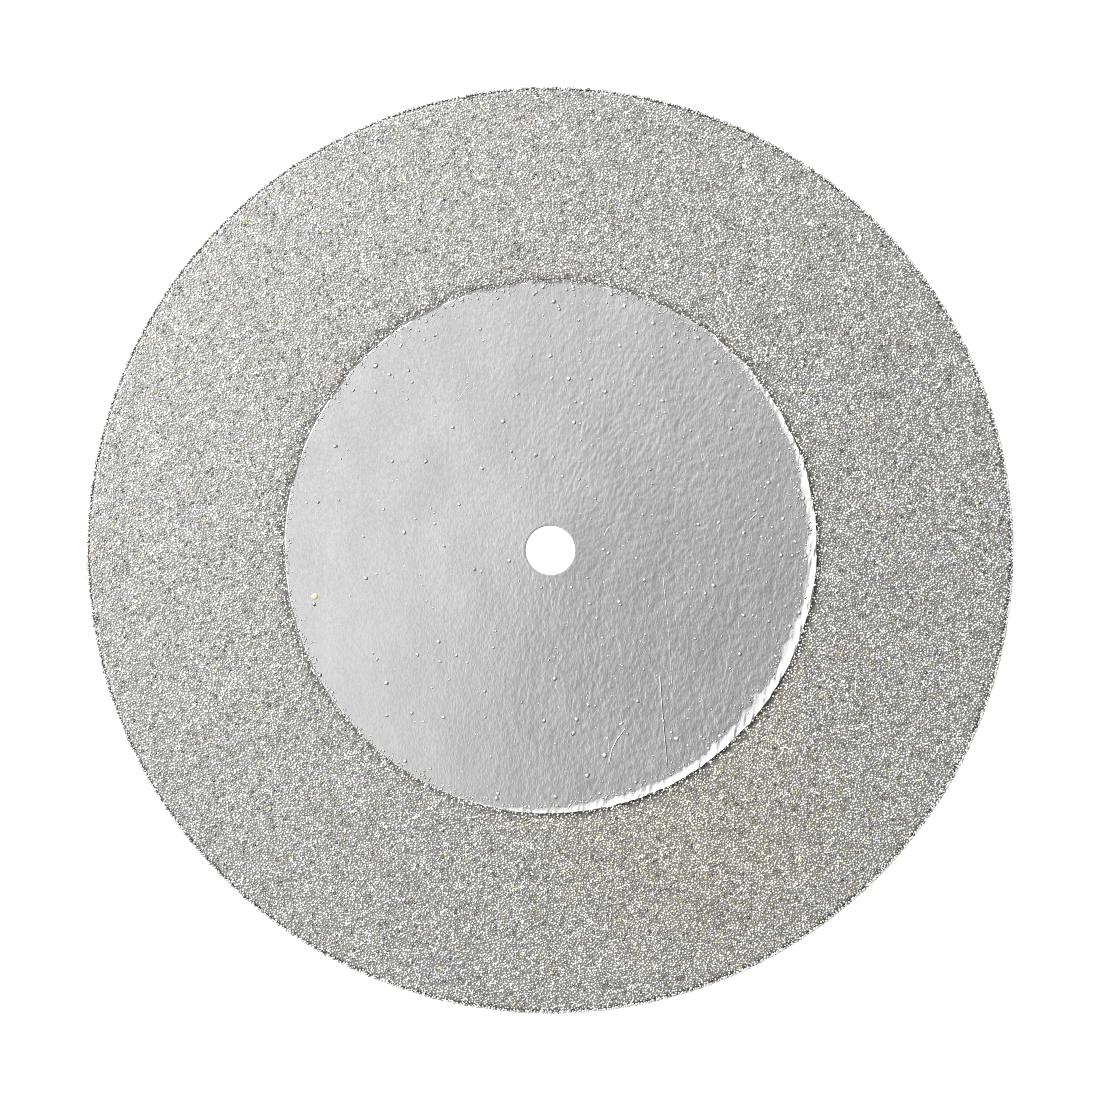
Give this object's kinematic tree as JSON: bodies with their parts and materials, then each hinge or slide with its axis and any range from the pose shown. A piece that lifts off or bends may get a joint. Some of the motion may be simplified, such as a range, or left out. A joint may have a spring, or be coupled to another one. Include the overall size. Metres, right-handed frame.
{
  "type": "diamond grinding wheel",
  "caption": "Thin round steel grinding wheel with electroplated diamond grit on its faces and rim, a plain clamping centre and a small mandrel bore.",
  "frame": {"origin": "centre of the bore on the wheel's mid-plane", "axes": "+Z along the bore axis, out of the front face; X and Y lie in the wheel's plane"},
  "size_m": [0.06, 0.06, 0.001],
  "materials": {
    "steel": "satin, as blanked",
    "nickel_flash": "satin nickel with fine rolling marks and small nodules",
    "nickel_bond": "satin nickel",
    "bright_nickel": "smooth bright nickel",
    "coated_grit": "rough glittering nickel over diamond crystals",
    "bare_diamond": "glossy yellow-green crystal"
  },
  "bodies": {
    "root": {"core_disc": "steel", "centre_plating_front": "nickel_flash", "centre_plating_back": "nickel_flash", "bond_front": "nickel_bond", "bond_back": "nickel_bond", "bond_rim": "nickel_bond", "mask_bead_front": "bright_nickel", "mask_bead_back": "bright_nickel", "grit_front": "coated_grit", "grit_back": "coated_grit", "grit_rim": "coated_grit", "coarse_crystals_front": "bare_diamond", "coarse_crystals_back": "bare_diamond"}
  },
  "joints": []
}
